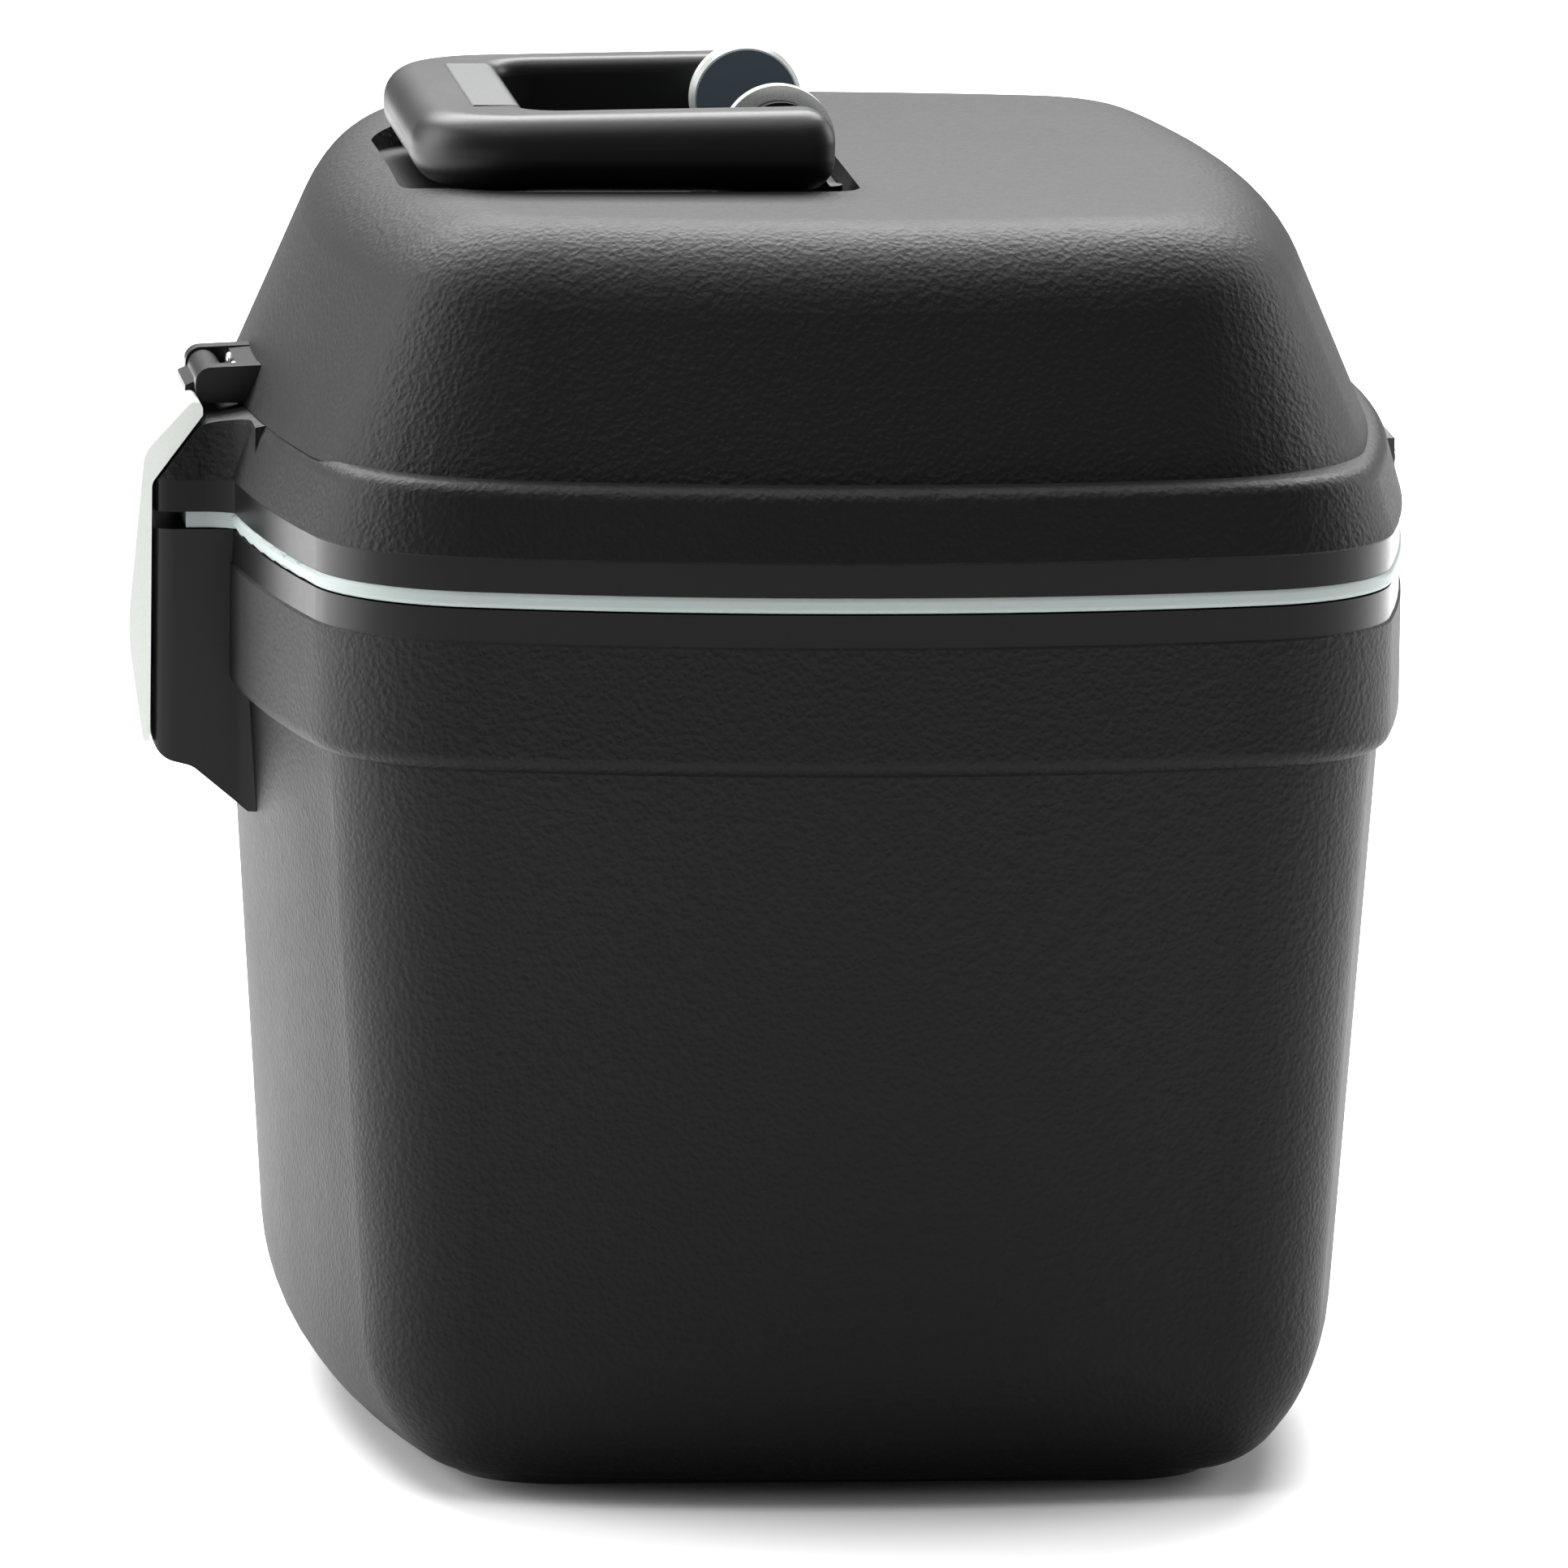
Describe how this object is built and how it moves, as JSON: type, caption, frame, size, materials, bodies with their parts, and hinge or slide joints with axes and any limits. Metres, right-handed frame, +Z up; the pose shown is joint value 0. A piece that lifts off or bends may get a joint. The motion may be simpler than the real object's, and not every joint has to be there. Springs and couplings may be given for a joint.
{
  "type": "slow cooker",
  "caption": "Insulated slow cooker with a moulded casing, hinged and latched lid, folding carry handle, vacuum vessel and a lidded cooking pot inside.",
  "frame": {"origin": "centre of the footprint, on the floor under the base pad", "axes": "+Z up, -Y to the front (the latch), +Y to the back (the hinge), X along the hinge"},
  "size_m": [0.368, 0.3214, 0.3387],
  "materials": {
    "grained_plastic": "matte",
    "smooth_plastic": "satin",
    "soft_grip": "matte",
    "seal_rubber": "satin",
    "inner_rubber": "satin",
    "pad_rubber": "matte",
    "silver_paint": "satin",
    "slate_plastic": "satin",
    "liner_plastic": "satin",
    "foam": "matte",
    "stainless_steel": "satin",
    "screw_steel": "satin",
    "hinge_metal": "satin"
  },
  "bodies": {
    "base": {"outer_casing": "grained_plastic", "neck_ring": "liner_plastic", "neck_ring_screws": "screw_steel", "base_pad": "pad_rubber", "base_pad_screws": "screw_steel", "vessel_outer_wall": "stainless_steel", "vessel_inner_wall": "stainless_steel", "vessel_seal_off_cap": "stainless_steel", "vessel_neck_gasket": "inner_rubber", "vessel_support_pad": "foam", "cooking_pot": "stainless_steel", "pot_ears": "stainless_steel", "pot_rivets": "stainless_steel", "pot_bail": "stainless_steel", "pot_lid": "stainless_steel", "pot_lid_knob": "smooth_plastic", "pot_lid_knob_screw": "screw_steel", "hinge_bracket": "hinge_metal", "hinge_pin": "screw_steel", "hinge_bracket_screws": "screw_steel", "latch_housing": "smooth_plastic", "latch_housing_screws": "screw_steel"},
    "lid": {"lid_shell": "grained_plastic", "lid_seal": "seal_rubber", "lid_liner": "liner_plastic", "lid_liner_screws": "screw_steel", "lid_insulation": "foam", "mouth_seal": "inner_rubber", "hinge_leaf": "hinge_metal", "hinge_leaf_screws": "screw_steel", "handle_base": "smooth_plastic", "handle_base_screws": "screw_steel", "pivot_rings": "silver_paint", "pivot_caps": "slate_plastic", "handle_pins": "screw_steel", "latch_ears": "smooth_plastic", "latch_ear_screws": "screw_steel", "latch_pin": "screw_steel"},
    "handle": {"carry_handle": "smooth_plastic", "grip_insert": "soft_grip"},
    "latch": {"latch_face": "silver_paint", "latch_lever": "smooth_plastic"}
  },
  "joints": [
    {"name": "lid_hinge", "type": "hinge", "parent": "base", "child": "lid", "pos_m": [0, 0.1472, 0.2284], "axis": [-1, 0, 0], "range_deg": [0, 95]},
    {"name": "handle_fold", "type": "hinge", "parent": "lid", "child": "handle", "pos_m": [0, -0.011, 0.3245], "axis": [-1, 0, 0], "range_deg": [0, 90]},
    {"name": "latch_swing", "type": "hinge", "parent": "lid", "child": "latch", "pos_m": [0, -0.1504, 0.26], "axis": [-1, 0, 0], "range_deg": [0, 100]}
  ]
}
